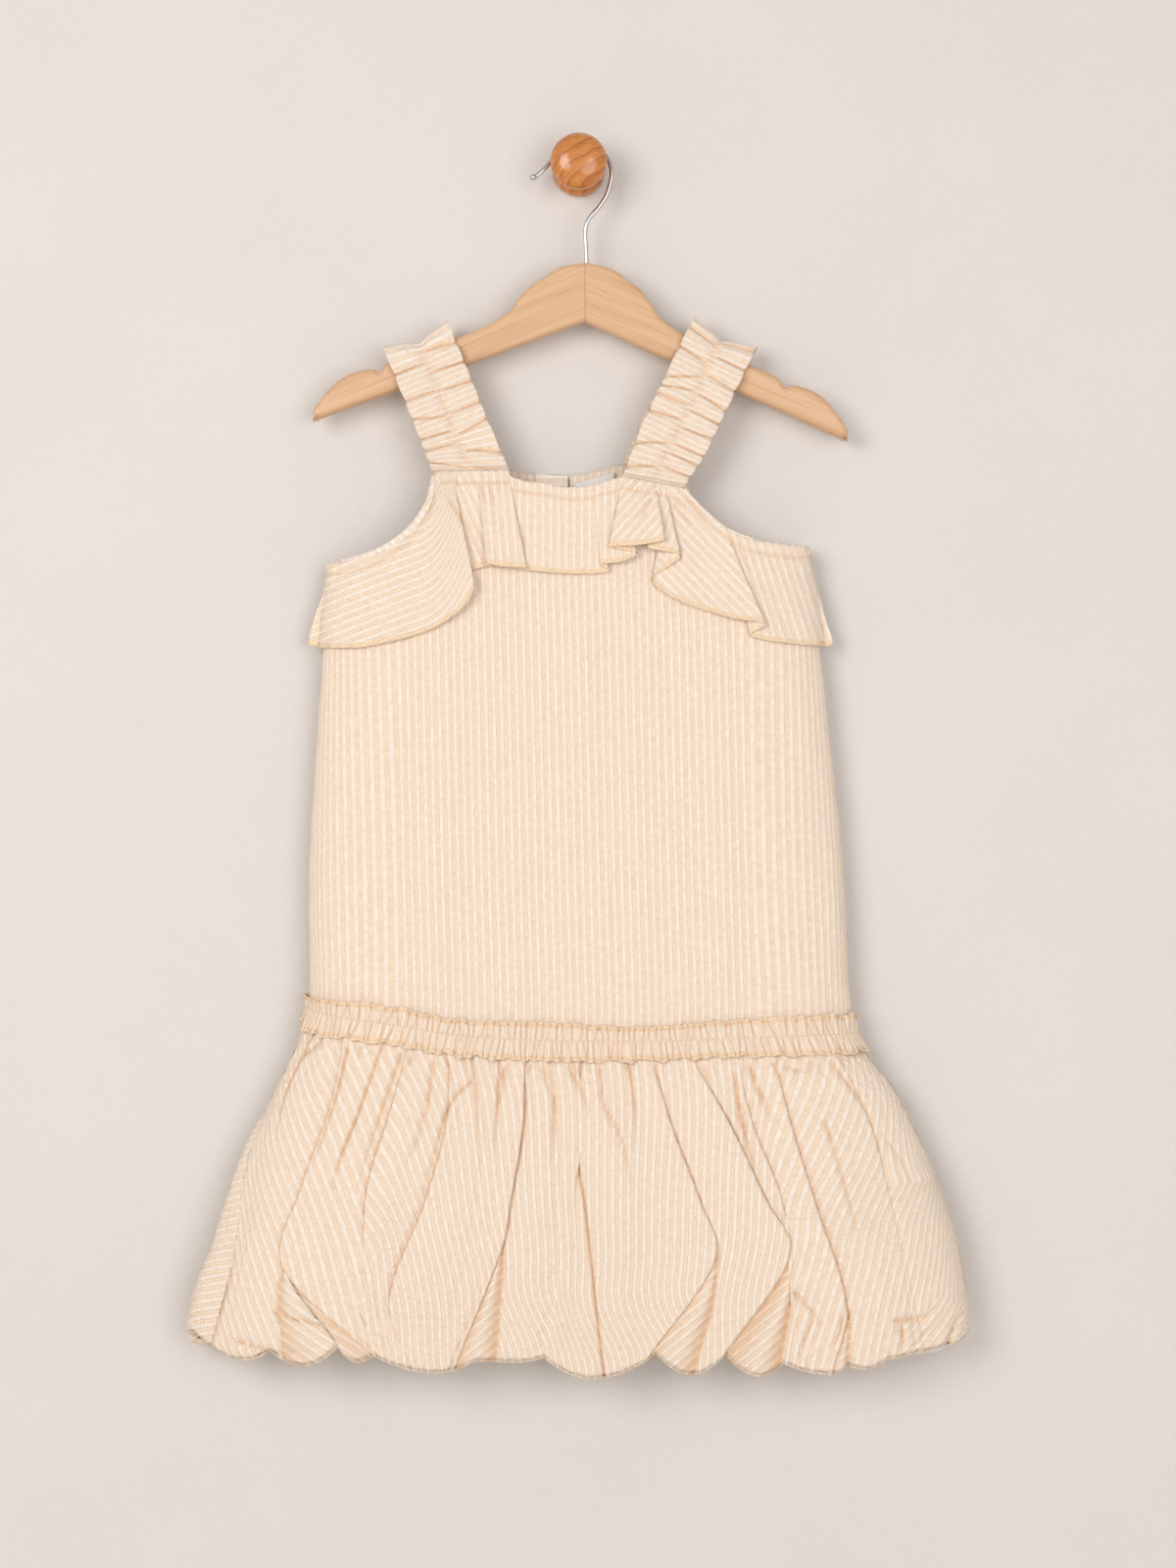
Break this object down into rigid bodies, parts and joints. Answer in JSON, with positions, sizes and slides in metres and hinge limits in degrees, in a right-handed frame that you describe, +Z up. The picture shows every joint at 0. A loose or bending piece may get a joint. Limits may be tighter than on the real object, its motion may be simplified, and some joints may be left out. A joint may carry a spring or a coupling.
{
  "type": "child's bubble dress on a wooden hanger and wall knob",
  "caption": "Sleeveless dropped-waist child's dress with frill straps, a top ruffle and a gathered bubble skirt, hung flat on a wooden hanger from a turned wall knob.",
  "frame": {"origin": "centre of the wall knob's flat back face, on the wall", "axes": "+Z up, +Y into the wall, +X to the right as seen from the front of the dress"},
  "size_m": [0.4712, 0.0564, 0.7413],
  "materials": {
    "striped_cotton": "apricot and cream striped puckered cotton",
    "striped_cotton_trim": "the same striped cotton, gathered",
    "white_cotton": "plain white cotton",
    "pearl_button": "pearly",
    "pale_wood": "pale, satin varnish",
    "honey_wood": "honey, gloss varnish",
    "chrome_wire": "bright"
  },
  "bodies": {
    "root": {"wall_knob": "honey_wood", "hanger": "pale_wood", "hanger_hook": "chrome_wire", "bodice_front": "striped_cotton", "bodice_back": "striped_cotton", "back_placket": "striped_cotton_trim", "back_button": "pearl_button", "neck_label": "white_cotton", "strap_left": "striped_cotton_trim", "strap_right": "striped_cotton_trim", "top_ruffle": "striped_cotton_trim", "waist_band_front": "striped_cotton_trim", "waist_band_back": "striped_cotton_trim", "skirt_front": "striped_cotton", "skirt_back": "striped_cotton", "skirt_lining": "white_cotton"}
  },
  "joints": []
}
